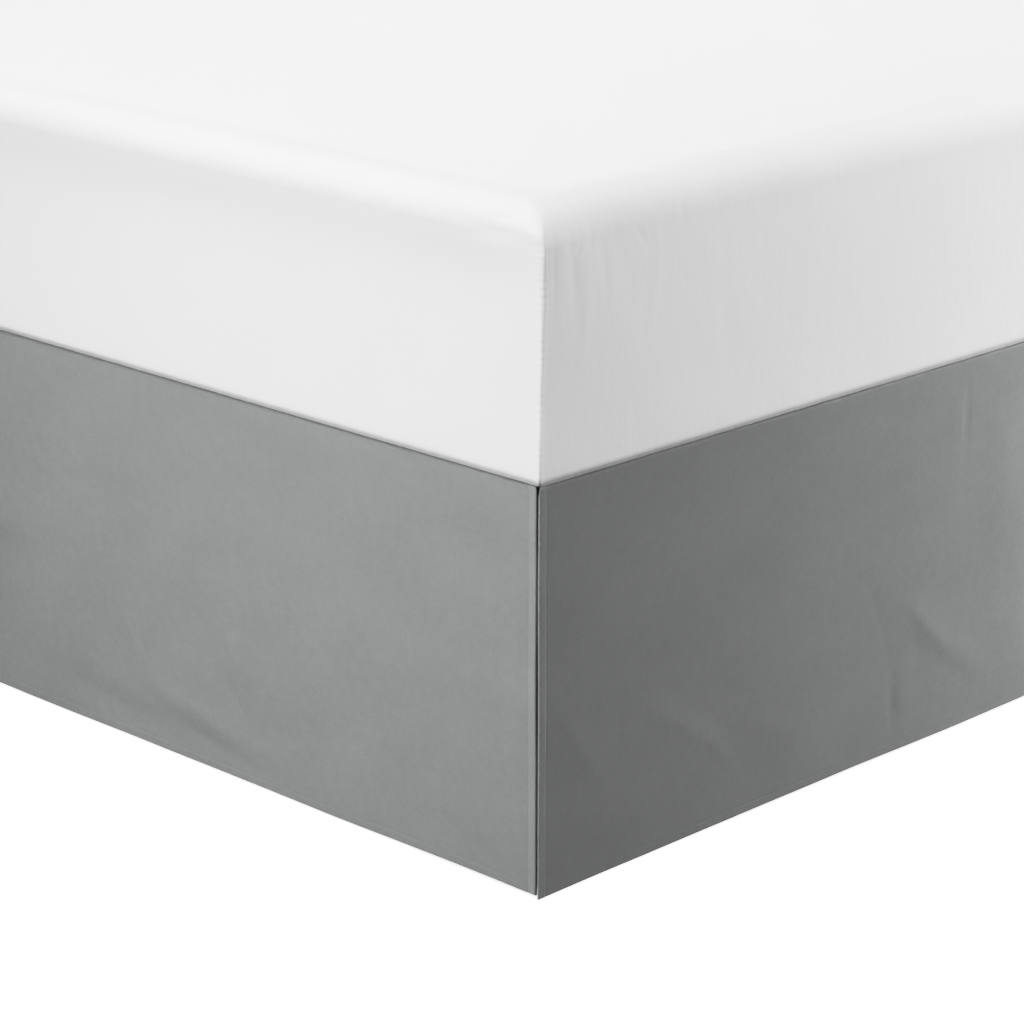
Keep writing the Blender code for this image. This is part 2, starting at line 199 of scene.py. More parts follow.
LEFT_CREASES = [
    Fold(0.150, 0.090, -30, 0.0050, 0.040, 0.0004),
    Fold(0.320, 0.110, 12, 0.0060, 0.060, 0.0005),
    Fold(0.620, 0.060, 55, 0.0050, 0.050, -0.0005),
    Fold(0.930, 0.100, -12, 0.0060, 0.060, 0.0005),
    Fold(1.270, 0.060, -50, 0.0050, 0.045, -0.0005),
    Fold(1.600, 0.110, 8, 0.0060, 0.060, 0.0005),
    Fold(1.800, 0.060, 40, 0.0050, 0.040, 0.0004),
]

# A drop's along axis starts at corner, and its cloth runs from start to end on it.
# mitre_end says whether its far end meets another drop. column is the spacing of its points.
# Each of its dips is a place where the hem hangs lower: its middle, its width and its depth.
Drop = namedtuple("Drop", "name corner along out start end mitre_end dips folds creases column")

FOOT_INSET = HEM_THICKNESS + SLIT
DROPS = [
    Drop(
        name="drop_foot",
        corner=Vector((X_FACE, -Y_FACE, 0)),
        along=Vector((-1, 0, 0)),
        out=Vector((0, -1, 0)),
        start=FOOT_INSET,
        end=2 * X_FACE - FOOT_INSET,
        mitre_end=True,
        dips=((0.30, 0.36, 0.0013), (0.77, 0.09, 0.0026)),
        folds=FOOT_FOLDS,
        creases=FOOT_CREASES,
        column=0.0050,
    ),
    Drop(
        name="drop_right",
        corner=Vector((X_FACE, -Y_FACE, 0)),
        along=Vector((0, 1, 0)),
        out=Vector((1, 0, 0)),
        start=0.0,
        end=2 * Y_FACE,
        mitre_end=False,
        dips=((0.0, 0.20, 0.0034),),
        folds=RIGHT_FOLDS,
        creases=RIGHT_CREASES,
        column=0.0050,
    ),
    Drop(
        name="drop_left",
        corner=Vector((-X_FACE, -Y_FACE, 0)),
        along=Vector((0, 1, 0)),
        out=Vector((-1, 0, 0)),
        start=0.0,
        end=2 * Y_FACE,
        mitre_end=False,
        dips=((0.0, 0.15, 0.0010),),
        folds=LEFT_FOLDS,
        creases=LEFT_CREASES,
        column=0.0060,
    ),
]


# Shared helpers


def smoothstep(low, high, value):
    share = np.clip((value - low) / (high - low), 0.0, 1.0)
    return share * share * (3 - 2 * share)


def hump(distance, width):
    return np.exp(-((distance / width) ** 2))


def mesh_object(name, points, faces, materials, smooth=True):
    mesh = bpy.data.meshes.new(name)
    mesh.from_pydata([tuple(point) for point in points], [], [tuple(face) for face in faces])
    mesh.polygons.foreach_set("use_smooth", [smooth] * len(mesh.polygons))
    for material in materials:
        mesh.materials.append(material)
    mesh.update()
    obj = bpy.data.objects.new(name, mesh)
    bpy.context.scene.collection.objects.link(obj)
    return obj


def place_piece(obj, slot, *nodes):
    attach(obj, "root")
    if nodes:
        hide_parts(*nodes)
    return obj


# Folds of a drop


def fold_lift(fold, along, up):
    lean = math.radians(fold.lean)
    across = (along - fold.along) * math.cos(lean) - (up - fold.up) * math.sin(lean)
    down = (along - fold.along) * math.sin(lean) + (up - fold.up) * math.cos(lean)
    return fold.lift * hump(across, fold.width) * hump(down, fold.length)


def stitch_height(along):
    """Height of the bottom hem's stitch line above the hem: the hem narrows at the split corner."""
    fall = STITCH_LINE_FALL * np.exp(-along / STITCH_LINE_FALL_LENGTH)
    return STITCH_LINE - fall + STITCH_LINE_WANDER * np.sin(along * 11.0 + 0.6)


def small_unevenness(drop, along, up):
    """Slow, slight waves that no pressed cloth is free of."""
    phase = 2.0 * (drop.along.y + 0.5 * drop.out.x)
    return sum(
        height * np.sin(along * rate_along + up * rate_up + share * phase)
        for height, rate_along, rate_up, share in SMALL_WAVES
    )


def hem_relief(drop, along, up):
    """The side hems stand out a little, and all the stitch lines are drawn in."""
    bottom_line = stitch_height(along)
    groove = BOTTOM_GROOVE_SHARE * hump(up - bottom_line, STITCH_GROOVE_WIDTH)
    nearest_end = np.minimum(along - drop.start, drop.end - along)
    puff = smoothstep(SIDE_STITCH + PUFF_ENDS, SIDE_STITCH - PUFF_FULL, nearest_end)
    groove = np.maximum(groove, hump(nearest_end - SIDE_STITCH, STITCH_GROOVE_WIDTH))
    return HEM_PUFF * puff - STITCH_GROOVE * groove


def sway(drop, along, up):
    """How far the cloth stands out from its flat plane: nothing at the bend, free at the hem."""
    total = sum(fold_lift(fold, along, up) for fold in drop.folds)
    total = total + small_unevenness(drop, along, up)
    held = smoothstep(0.0, HELD_DEPTH, DROP - up)
    base_bottom = DROP - BASE_HEIGHT
    in_front_of_base = smoothstep(base_bottom - BASE_FADE, base_bottom, up)
    inward_limit = MOST_INWARD + (MOST_INWARD_AT_BASE - MOST_INWARD) * in_front_of_base
    main = np.maximum(total * held, -inward_limit)
    fine = sum(fold_lift(crease, along, up) for crease in drop.creases)
    return main + (fine + hem_relief(drop, along, up)) * smoothstep(0.0, FINE_STARTS, DROP - up)


def hem_level(drop, along):
    """The hem's height above the floor: a slow wave, lower at the drop's dips."""
    wave = sum(height * np.sin(along * rate + phase) for height, rate, phase in HEM_WAVES)
    dip = sum(depth * hump(along - place, width) for place, width, depth in drop.dips)
    return HEM_CLEARANCE + wave - dip


def cloth_thickness(drop, along, up):
    nearest_end = np.minimum(along - drop.start, drop.end - along)
    in_side_hem = smoothstep(SIDE_HEM + HEM_STEP, SIDE_HEM, nearest_end)
    in_bottom_hem = smoothstep(BOTTOM_HEM + HEM_STEP, BOTTOM_HEM, up)
    below_bend = smoothstep(BEND_RADIUS, BEND_RADIUS + HEM_THICKNESS, DROP - up)
    return CLOTH + (HEM_THICKNESS - CLOTH) * np.maximum(in_side_hem, in_bottom_hem) * below_bend


def rounded_edge(distance, thickness):
    """How far a face draws in towards the cloth's middle near an edge, so that the edge is round."""
    radius = thickness / 2
    short = np.clip(radius - distance, 0.0, None)
    return radius - np.sqrt(np.clip(radius**2 - short**2, 0.0, None))


# Points of a drop

# Turns in degrees, distances from an edge, and the spacing of the points past the hems
EDGE_TURNS = (0, 20, 40, 60, 75)
BEND_TURNS = (15, 30, 45, 60, 75)
HEAD_SPOTS = (HEAD_STRIP, 0.0196, 0.0190, 0.0140)
SIDE_SPOTS = (0.0022, 0.0036, 0.0051, 0.0065, 0.0074, 0.0080, 0.0086, 0.0092, 0.0099, 0.0105, 0.0112, 0.0120)
PAST_SIDE_HEM = 0.0145
BOTTOM_SPOTS = (
    (0.0022, 0.0036, 0.0050, 0.0062, 0.0070, 0.0077, 0.0084, 0.0091)
    + (0.0098, 0.0105, 0.0112, 0.0120, 0.0125, 0.0131, 0.0142, 0.0160)
)
PAST_BOTTOM_HEM = 0.020
HANGING_ROW = 0.0052
WELD_DISTANCE = 0.00002


def edge_steps(radius, spots):
    """Distances from an edge: close ones over its round, then the given spots."""
    round_steps = [radius * (1 - math.cos(math.radians(turn))) for turn in EDGE_TURNS]
    return round_steps + list(spots)


def column_places(drop):
    steps = edge_steps(HEM_THICKNESS / 2, SIDE_SPOTS)
    low, high = drop.start + PAST_SIDE_HEM, drop.end - PAST_SIDE_HEM
    count = round((high - low) / drop.column)
    middle = np.linspace(low, high, count + 1)
    near = [drop.start + step for step in steps]
    far = [drop.end - step for step in reversed(steps)]
    return np.concatenate([near, middle, far])


def hanging_rows():
    """Heights above the hem, from the bend down to the hem's edge."""
    steps = edge_steps(HEM_THICKNESS / 2, BOTTOM_SPOTS)
    top = DROP - BEND_RADIUS
    count = round((top - PAST_BOTTOM_HEM) / HANGING_ROW)
    upper = np.linspace(top, PAST_BOTTOM_HEM, count + 1)
    return np.concatenate([upper, steps[::-1]])


def bend_radius(drop, places):
    """The bend is tighter at the drop's ends, where the side hems stiffen it."""
    nearest_end = np.minimum(places - drop.start, drop.end - places)
    return BEND_RADIUS * (1 - (1 - CORNER_BEND) * hump(nearest_end, CORNER_BEND_REACH))


def head_rows(drop, places):
    """(inward, level, tilt) of the head strip and the bend. tilt turns the face from up to out."""
    radius = bend_radius(drop, places)
    flat = np.zeros_like(radius)
    rows = [(flat + inward, flat + SKIRT_TOP, 0.0) for inward in HEAD_SPOTS]
    rows.append((radius, flat + SKIRT_TOP, 0.0))
    for turn in np.radians(BEND_TURNS):
        rows.append((radius * (1 - math.sin(turn)), SKIRT_TOP - radius * (1 - math.cos(turn)), turn))
    return rows


def head_grid(drop, places):
    """Outer and inner points of the strip and the bend, one row at a time."""
    outer = []
    inner = []
    for inward, level, tilt in head_rows(drop, places):
        start = drop.start + inward
        end = drop.end - inward if drop.mitre_end else drop.end
        along = start + (places - drop.start) * (end - start) / (drop.end - drop.start)
        face = along[:, None] * np.array(drop.along) + np.array(drop.corner)
        face = face - inward[:, None] * np.array(drop.out) + level[:, None] * np.array((0, 0, 1))
        normal = math.sin(tilt) * np.array(drop.out) + np.array((0, 0, math.cos(tilt)))
        thickness = cloth_thickness(drop, places, np.full_like(places, DROP))
        thickness = CLOTH + (thickness - CLOTH) * math.sin(tilt)
        distance = np.minimum(places - drop.start, drop.end - places)
        distance = np.minimum(distance, HEAD_STRIP - inward)
        draw = rounded_edge(distance, thickness)
        outer.append(face - normal * draw[:, None])
        inner.append(face - normal * (thickness - draw)[:, None])
    return outer, inner


def hanging_face(drop, along, up):
    """Points of the outer face of the hanging cloth."""
    share = 1 - up / DROP
    level = HEM_CLEARANCE + up + (hem_level(drop, along) - HEM_CLEARANCE) * share
    face = along[:, None] * np.array(drop.along) + np.array(drop.corner)
    face = face + sway(drop, along, up)[:, None] * np.array(drop.out)
    face[:, 2] += level
    return face


def hanging_grid(drop, places):
    outer = []
    inner = []
    out = np.array(drop.out)
    for height in hanging_rows():
        up = np.full_like(places, height)
        thickness = cloth_thickness(drop, places, up)
        distance = np.minimum(np.minimum(places - drop.start, drop.end - places), up)
        draw = rounded_edge(distance, thickness)
        face = hanging_face(drop, places, up)
        outer.append(face - out * draw[:, None])
        inner.append(face - out * (thickness - draw)[:, None])
    return outer, inner


def grid_faces(row_count, column_count, first, flipped):
    faces = []
    for row in range(row_count - 1):
        for column in range(column_count - 1):
            a = first + row * column_count + column
            b = a + 1
            corners = (a, b, b + column_count, a + column_count)
            faces.append(corners[::-1] if flipped else corners)
    return faces


def rim_faces(row_count, column_count, second, flipped):
    """Joins the rims of the outer and the inner face."""
    last_row = (row_count - 1) * column_count
    top = list(range(column_count))
    far = [row * column_count + column_count - 1 for row in range(row_count)]
    bottom = [last_row + column for column in reversed(range(column_count))]
    near = [row * column_count for row in reversed(range(row_count))]
    rim = top + far[1:] + bottom[1:] + near[1:-1]
    faces = []
    for index, a in enumerate(rim):
        b = rim[(index + 1) % len(rim)]
        corners = (b, a, a + second, b + second)
        faces.append(corners[::-1] if flipped else corners)
    return faces


def make_drop(drop, material):
    places = column_places(drop)
    head_outer, head_inner = head_grid(drop, places)
    outer, inner = hanging_grid(drop, places)
    outer = head_outer + outer
    inner = head_inner + inner
    rows = len(outer)
    columns = len(places)
    points = np.concatenate(outer + inner)
    flipped = drop.along.cross(Vector((0, 0, -1))).dot(drop.out) < 0
    faces = grid_faces(rows, columns, 0, flipped)
    faces += grid_faces(rows, columns, rows * columns, not flipped)
    faces += rim_faces(rows, columns, rows * columns, flipped)
    obj = mesh_object(drop.name + "_cloth", points, faces, [material])
    # The near side hem's painted highlight, kept as a point attribute
    hem_highlight_attribute = obj.data.attributes.new("hem_painted_highlight", "FLOAT", "POINT")
    hem_highlight_attribute.data.foreach_set("value", hem_highlight_share(drop, places, rows))
    weld_close_points(obj)
    return place_piece(obj, "skirt_fabric", drop.name)


def hem_highlight_share(drop, places, rows):
    """1 over the near side hem, which gets a painted highlight, and 0 elsewhere."""
    share = smoothstep(SIDE_STITCH + HEM_HIGHLIGHT_EDGE, SIDE_STITCH - HEM_HIGHLIGHT_EDGE, places - drop.start)
    return np.tile(share, 2 * rows)


def weld_close_points(obj):
    """Joins the points where the outer and inner faces meet on a round edge."""
    weld = obj.modifiers.new("Join", "WELD")
    weld.merge_threshold = WELD_DISTANCE
    apply_modifiers(obj)


def apply_modifiers(obj):
    graph = bpy.context.evaluated_depsgraph_get()
    made = bpy.data.meshes.new_from_object(obj.evaluated_get(graph))
    old = obj.data
    obj.modifiers.clear()
    obj.data = made
    bpy.data.meshes.remove(old)


# Stitches

STITCH_PITCH = 0.0032
STITCH_LENGTH = 0.0026
STITCH_WIDTH = 0.00042
STITCH_SIDES = 6
STITCH_SUNK = 0.00004
STITCH_END_DIP = 0.00028
STITCHES_START = 0.003
STITCHES_STOP = 0.004
STITCH_RINGS = ((-0.50, 0.15), (-0.34, 0.85), (0.0, 1.0), (0.34, 0.85), (0.50, 0.15))


def stitch_mesh(centres, directions, normals):
    """Points and faces of short fat threads, each sunk into the cloth by more than half."""
    sides = np.cross(directions, normals)
    points = []
    faces = []
    turns = [2 * math.pi * side / STITCH_SIDES for side in range(STITCH_SIDES)]
    for place, fat in STITCH_RINGS:
        for turn in turns:
            radius = STITCH_WIDTH / 2 * fat
            ring = centres + directions * (place * STITCH_LENGTH)
            ring = ring + sides * (radius * math.cos(turn)) + normals * (radius * math.sin(turn))
            points.append(ring - normals * (STITCH_GROOVE + STITCH_SUNK + STITCH_END_DIP * abs(place)))
    points = np.stack(points, axis=1)
    each = points.shape[1]
    rings = len(STITCH_RINGS)
    template = []
    for ring in range(rings - 1):
        for side in range(STITCH_SIDES):
            a = ring * STITCH_SIDES + side
            b = ring * STITCH_SIDES + (side + 1) % STITCH_SIDES
            template.append((a, b, b + STITCH_SIDES, a + STITCH_SIDES))
    template.append(tuple(reversed(range(STITCH_SIDES))))
    template.append(tuple(range((rings - 1) * STITCH_SIDES, rings * STITCH_SIDES)))
    for number in range(len(centres)):
        faces += [tuple(number * each + index for index in face) for face in template]
    return points.reshape(-1, 3), faces


def stitch_lines(drop):
    """(along, up, runs_up) of each stitch: one line above the bottom hem and one beside each end."""
    count = int((drop.end - drop.start - 2 * SIDE_STITCH) / STITCH_PITCH)
    along = drop.start + SIDE_STITCH + (np.arange(count) + 0.5) * STITCH_PITCH
    lines = [(along, stitch_height(along), False)]
    tall = int((DROP - BEND_RADIUS - STITCHES_STOP) / STITCH_PITCH)
    up = STITCHES_START + (np.arange(tall) + 0.5) * STITCH_PITCH
    for place in (drop.start + SIDE_STITCH, drop.end - SIDE_STITCH):
        lines.append((np.full_like(up, place), up, True))
    return lines


def make_stitches(drop, material):
    all_points = []
    all_faces = []
    count = 0
    out = np.array(drop.out)
    for along, up, runs_up in stitch_lines(drop):
        step = 0.001
        if runs_up:
            ahead = hanging_face(drop, along, up + step)
            behind = hanging_face(drop, along, up - step)
        else:
            ahead = hanging_face(drop, along + step, stitch_height(along + step))
            behind = hanging_face(drop, along - step, stitch_height(along - step))
        directions = ahead - behind
        directions /= np.linalg.norm(directions, axis=1)[:, None]
        normals = out - directions * (directions @ out)[:, None]
        normals /= np.linalg.norm(normals, axis=1)[:, None]
        centres = hanging_face(drop, along, up)
        points, faces = stitch_mesh(centres, directions, normals)
        all_points.append(points)
        all_faces += [tuple(index + count for index in face) for face in faces]
        count += len(points)
    obj = mesh_object(drop.name + "_stitches", np.concatenate(all_points), all_faces, [material])
    return place_piece(obj, "skirt_fabric")


# Mattress cover

ROLL_STANDS = 0.0025
MATTRESS_HALF_X = MATTRESS_HIGH.x - ROLL_STANDS
MATTRESS_HALF_Y = MATTRESS_HIGH.y - ROLL_STANDS
MATTRESS_BOTTOM = MATTRESS_LOW.z
CROWN = 0.006
EDGE_TOP = MATTRESS_HIGH.z - CROWN
MATTRESS_CORNER = 0.0035
BOTTOM_EDGE_HEIGHT = 0.0098
TOP_ROLL = 0.038
ROLL_ROUNDING = 0.45
INSET_ROUNDING = 0.4
SIDE_TOP = EDGE_TOP - TOP_ROLL
SIDE_BOTTOM = MATTRESS_BOTTOM + BOTTOM_EDGE_HEIGHT
SIDE_ROWS = 104
ROLL_ROWS = 23
CORNER_POINTS = 17
UNDER_INSETS = (0.60, 0.30, 0.10, 0.03, 0.013)
TOP_INSETS = (0.045, 0.055, 0.07, 0.09, 0.11, 0.14, 0.18, 0.23, 0.30, 0.38, 0.47, 0.56, 0.65, 0.71, 0.755)
LARGEST_ROUND = 0.9
CROWN_STARTS = 0.09

# Spacing of the points round the cover: fine near a corner that the camera sees, coarse far from it
FINE_POINT = 0.0024
COARSE_POINT = 0.022
FINE_REACH = 0.14
COARSER = 0.035
OUT_OF_SIGHT = 9.0

# Lengths of cover between which the relief fades out on the top, and where it starts at the bottom
RELIEF_FADES = (0.28, 0.40)
RELIEF_STARTS = 0.014

# The bottom edge turns further under at the ends than at the sides
END_EDGE_DEPTH = 1.3
SIDE_EDGE_DEPTH = 1.15

# (how far the bottom edge draws in, its height, how many degrees it faces up from straight down)
BOTTOM_EDGE = (
    (0.0082, 0.0, 5),
    (0.0072, 0.0002, 15),
    (0.0063, 0.0008, 32),
    (0.0054, 0.0017, 42),
    (0.0036, 0.0037, 45),
    (0.0021, 0.0053, 47),
    (0.0010, 0.0067, 58),
    (0.0003, 0.0082, 76),
    (0.0, 0.0098, 90),
)

# (share of the side's height, how far it stands out), and its tilt where the top roll starts
END_PROFILE = (
    (0, 0.0040),
    (0.1, 0.0030),
    (0.25, 0.0010),
    (0.45, -0.0016),
    (0.6, -0.0034),
    (0.75, -0.0046),
    (0.87, -0.0036),
    (1, 0.0010),
)
SIDE_PROFILE = (
    (0, 0.0038),
    (0.1, 0.0030),
    (0.25, 0.0018),
    (0.45, 0.0010),
    (0.65, 0.0),
    (0.8, -0.0010),
    (0.9, -0.0019),
    (1, -0.0031),
)
END_TILT = -12.0
SIDE_TILT = 4.0

# Near the corner the end bows less, and the seam leans towards the side from its foot to its top
CORNER_REACH = 0.05
CORNER_PROFILE = ((0, 0.0040), (0.25, 0.0010), (0.5, -0.0016), (0.75, -0.0034), (0.88, -0.0032), (1, -0.0010))
SEAM_LEAN = (-0.0010, 0.0046)

SEAM_TOP = 0.222
SEAM_HEIGHT = 0.0011
SEAM_LEFT_WIDTH = 0.0028
SEAM_RIGHT_WIDTH = 0.0018
SEAM_END = 0.004
PUCKER = 0.40
PUCKER_WIDTH = 0.0040
PROFILE_BLUR = (-0.06, -0.03, 0.0, 0.03, 0.06)

# Creases near the corner that faces the camera. along is from the seam, and less than nothing on
# the foot side. up is the length of cover from the bottom edge.
COVER_CREASES = [
    Fold(-0.004, 0.2215, 90, 0.0018, 0.010, 0.0008),
    Fold(-0.026, 0.2470, 72, 0.0028, 0.020, 0.0010),
    Fold(0.030, 0.2560, 84, 0.0026, 0.030, 0.0007),
    Fold(0.115, 0.2580, 91, 0.0026, 0.050, 0.0006),
    Fold(0.210, 0.2640, 88, 0.0024, 0.022, 0.0008),
    Fold(0.300, 0.2560, 92, 0.0030, 0.070, 0.0005),
    Fold(0.480, 0.2580, 89, 0.0030, 0.080, 0.0005),
    Fold(-0.046, 0.2170, 88, 0.0060, 0.030, -0.0016),
    Fold(-0.036, 0.2300, 80, 0.0045, 0.018, -0.0009),
    Fold(-0.085, 0.2230, 94, 0.0040, 0.020, -0.0005),
    Fold(-0.011, 0.1150, 0, 0.0060, 0.130, -0.0005),
    Fold(-0.022, 0.1900, 2, 0.0040, 0.030, -0.0003),
    Fold(-0.040, 0.1800, -3, 0.0045, 0.035, 0.0003),
    Fold(-0.068, 0.2000, 3, 0.0050, 0.022, 0.0003),
    Fold(0.012, 0.1900, 1, 0.0035, 0.040, -0.0004),
    Fold(0.036, 0.1850, -3, 0.0060, 0.032, -0.0007),
    Fold(0.052, 0.1500, 4, 0.0060, 0.050, 0.0004),
    Fold(0.075, 0.1750, -5, 0.0050, 0.030, -0.0004),
    Fold(0.060, 0.2060, 40, 0.0030, 0.009, -0.0005),
    Fold(0.044, 0.2000, 35, 0.0030, 0.008, -0.0005),
    Fold(0.125, 0.2000, -30, 0.0030, 0.009, -0.0005),
    Fold(0.180, 0.2180, 5, 0.0030, 0.010, -0.0005),
    Fold(0.140, 0.1600, 8, 0.0070, 0.050, 0.0004),
    Fold(0.230, 0.1300, -6, 0.0080, 0.070, -0.0004),
    Fold(0.350, 0.1500, 5, 0.0080, 0.080, 0.0004),
    Fold(-0.160, 0.1200, 4, 0.0080, 0.070, 0.0003),
    Fold(-0.290, 0.1500, -6, 0.0090, 0.080, -0.0003),
]

# (height, rates along x, y and up, phase)
WRINKLES = (
    (0.00022, 21.0, 17.0, 14.0, 0.0),
    (0.00020, 43.0, -37.0, -29.0, 0.8),
    (0.00010, 97.0, 83.0, 61.0, 2.1),
)


def profile(table, share):
    """A smooth line through a table's places."""
    shares = [place for place, _ in table]
    shifts = [shift for _, shift in table]
    near = [np.interp(np.clip(share + step, 0.0, 1.0), shares, shifts) for step in PROFILE_BLUR]
    return sum(near) / len(near)


def roll_inset(share, tilt):
    """How far the top roll draws in at a share of its height, when it starts at a tilt."""
    first = math.radians(tilt)
    turn = math.asin(math.sin(first) + (1 - math.sin(first)) * share)
    return TOP_ROLL * (math.cos(first) - math.cos(turn))


def side_places(length, fine_start, fine_end):
    """Distances along one side of the cover. Points lie close near a corner that the camera sees."""
    start = [0.0]
    while start[-1] < length:
        from_near = start[-1] if fine_start else OUT_OF_SIGHT
        from_far = length - start[-1] if fine_end else OUT_OF_SIGHT
        past = max(min(from_near, from_far) - FINE_REACH, 0.0)
        start.append(start[-1] + min(FINE_POINT + past * COARSER, COARSE_POINT))
    places = np.array(start)
    return (places / places[-1] * length)[1:-1]


def cover_outline(half_x, half_y, radius):
    """Points round the mattress, anticlockwise from the foot corner on the +X side.

    Gives x, y, the outward normal, and the distance from the nearest corner's middle, which is
    less than nothing before that corner.
    """
    turns = np.radians(np.linspace(0.0, 90.0, CORNER_POINTS))
    corners = [(1, -1, -90), (1, 1, 0), (-1, 1, 90), (-1, -1, 180)]
    columns = []
    for index, (sign_x, sign_y, first) in enumerate(corners):
        turned = np.radians(first) + turns
        x = sign_x * (half_x - radius) + radius * np.cos(turned)
        y = sign_y * (half_y - radius) + radius * np.sin(turned)
        from_corner = (turns - math.radians(45)) * radius
        columns.append(np.stack((x, y, np.cos(turned), np.sin(turned), from_corner)))
        full = 2 * (MATTRESS_HALF_Y if index % 2 == 0 else MATTRESS_HALF_X) - 2 * MATTRESS_CORNER
        places = side_places(full, index == 0, index == 3)
        length = 2 * (half_y if index % 2 == 0 else half_x) - 2 * radius
        run = places / full * length
        last = turned[-1]
        sides = np.empty((5, len(run)))
        sides[0] = x[-1] - math.sin(last) * run
        sides[1] = y[-1] + math.cos(last) * run
        sides[2] = math.cos(last)
        sides[3] = math.sin(last)
        half_corner = radius * math.radians(45)
        sides[4] = np.where(run < length / 2, run + half_corner, run - length - half_corner)
        columns.append(sides)
    return np.concatenate(columns, axis=1)


def crowned(x, y, level):
    """Raises the middle of the top."""
    share_x = np.minimum(np.abs(x) / MATTRESS_HALF_X, 1.0)
    share_y = np.minimum(np.abs(y) / MATTRESS_HALF_Y, 1.0)
    rising = smoothstep(SIDE_BOTTOM + CROWN_STARTS, EDGE_TOP, level)
    return level + rising * CROWN * (1 - share_x**4) * (1 - share_y**4)


# A section is a ring of the cover: how far it draws in at the sides and the ends, its level,
# how far it faces out and up, its added corner radius and the length of cover below it.
Section = namedtuple("Section", "inset_x inset_y level outward upward rounding length")


def cover_sections():
    rows = [Section(inset, inset, MATTRESS_BOTTOM, 0, -1, 0, -inset) for inset in UNDER_INSETS]
    for inset, height, facing in BOTTOM_EDGE:
        rows.append(
            Section(
                inset * SIDE_EDGE_DEPTH - profile(SIDE_PROFILE, 0.0),
                inset * END_EDGE_DEPTH - profile(END_PROFILE, 0.0),
                MATTRESS_BOTTOM + height,
                math.sin(math.radians(facing)),
                -math.cos(math.radians(facing)),
                0,
                height,
            )
        )
    for share in np.linspace(0, 1, SIDE_ROWS)[1:]:
        level = SIDE_BOTTOM + (SIDE_TOP - SIDE_BOTTOM) * share
        rows.append(
            Section(
                -profile(SIDE_PROFILE, share),
                -profile(END_PROFILE, share),
                level,
                1,
                0,
                0,
                level - MATTRESS_BOTTOM,
            )
        )
    last = rows[-1]
    for turn in np.radians(np.linspace(0, 90, ROLL_ROWS + 1)[1:]):
        share = math.sin(turn)
        inset_x = roll_inset(share, SIDE_TILT)
        inset_y = roll_inset(share, END_TILT)
        rows.append(
            Section(
                last.inset_x + inset_x,
                last.inset_y + inset_y,
                SIDE_TOP + TOP_ROLL * share,
                math.cos(turn),
                math.sin(turn),
                ROLL_ROUNDING * TOP_ROLL * (1 - math.cos(turn)),
                last.length + TOP_ROLL * turn,
            )
        )
    last = rows[-1]
    for inset in TOP_INSETS:
        added = inset - TOP_ROLL
        rounding = last.rounding + INSET_ROUNDING * added
        rows.append(
            Section(last.inset_x + added, last.inset_y + added, EDGE_TOP, 0, 1, rounding, last.length + added)
        )
    return rows


def seam_relief(from_corner, up):
    """The seam's ridge down a corner: broad on the foot side, steep on the other, lightly puckered."""
    wander = 0.0002 * np.sin(up * 46.0) + 0.0003 * np.sin(up * 121.0 + 1.0)
    across = from_corner - wander
    width = np.where(across < 0, SEAM_LEFT_WIDTH, SEAM_RIGHT_WIDTH)
    shown = smoothstep(SEAM_TOP + SEAM_END, SEAM_TOP - SEAM_END, up)
    puckers = PUCKER * np.sin(up * 1080.0 + 2.0 * np.sin(up * 130.0)) * hump(across, PUCKER_WIDTH)
    return SEAM_HEIGHT * (hump(across, width) + puckers) * shown


def cover_relief(x, y, from_corner, up, spread):
    """Seams down the corners, and slight wrinkles of the taut cover."""
    waves = sum(
        height * np.sin(x * rate_x + y * rate_y + up * rate_up + phase)
        for height, rate_x, rate_y, rate_up, phase in WRINKLES
    )
    total = seam_relief(from_corner, up) + waves
    near = (x > 0) & (y < MATTRESS_HALF_Y * 0.5) & ((y < -MATTRESS_HALF_Y * 0.9) | (from_corner > 0))
    creases = sum(fold_lift(crease, from_corner, up) for crease in COVER_CREASES)
    total = total + np.where(near, creases, 0.0)
    return total * smoothstep(0.0, RELIEF_STARTS, up) * spread


def corner_shift(section, from_corner):
    """(sideways, endways) shift that keeps the corner's edge on its own line, where the faces bow."""
    share = min(max((section.level - SIDE_BOTTOM) / (SIDE_TOP - SIDE_BOTTOM), 0.0), 1.0)
    near = hump(from_corner, CORNER_REACH) * section.outward
    end_line = profile(CORNER_PROFILE, share)
    side_line = end_line + SEAM_LEAN[0] + (SEAM_LEAN[1] - SEAM_LEAN[0]) * share
    return near * (side_line - profile(SIDE_PROFILE, share)), near * (end_line - profile(END_PROFILE, share))


def make_cover(material):
    rows = []
    for section in cover_sections():
        half_x = MATTRESS_HALF_X - section.inset_x
        half_y = MATTRESS_HALF_Y - section.inset_y
        radius = min(MATTRESS_CORNER + section.rounding, LARGEST_ROUND * half_x)
        x, y, normal_x, normal_y, from_corner = cover_outline(half_x, half_y, radius)
        up = np.full_like(x, section.length)
        spread = 1.0 - smoothstep(*RELIEF_FADES, section.length)
        relief = cover_relief(x, y, from_corner, up, spread)
        levels = crowned(x, y, np.full_like(x, section.level))
        sideways, endways = corner_shift(section, from_corner)
        rows.append(
            np.stack(
                (
                    x + normal_x * (relief * section.outward + sideways),
                    y + normal_y * (relief * section.outward + endways),
                    levels + relief * section.upward,
                ),
                axis=1,
            )
        )
    count = len(rows[0])
    faces = []
    for row in range(len(rows) - 1):
        for column in range(count):
            a = row * count + column
            b = row * count + (column + 1) % count
            faces.append((a, b, b + count, a + count))
    faces.append(tuple(reversed(range(count))))
    last = (len(rows) - 1) * count
    faces.append(tuple(range(last, last + count)))
    obj = mesh_object("mattress_cover", np.concatenate(rows), faces, [material])
    place_piece(obj, "mattress_cover", "mattress")
    return obj


# Deck

DECK_CELL = 0.045
DECK_SPOTS = (0.0016, 0.0030, 0.0080)
DECK_MARGIN = 0.02
DECK_SLACK = 0.00008


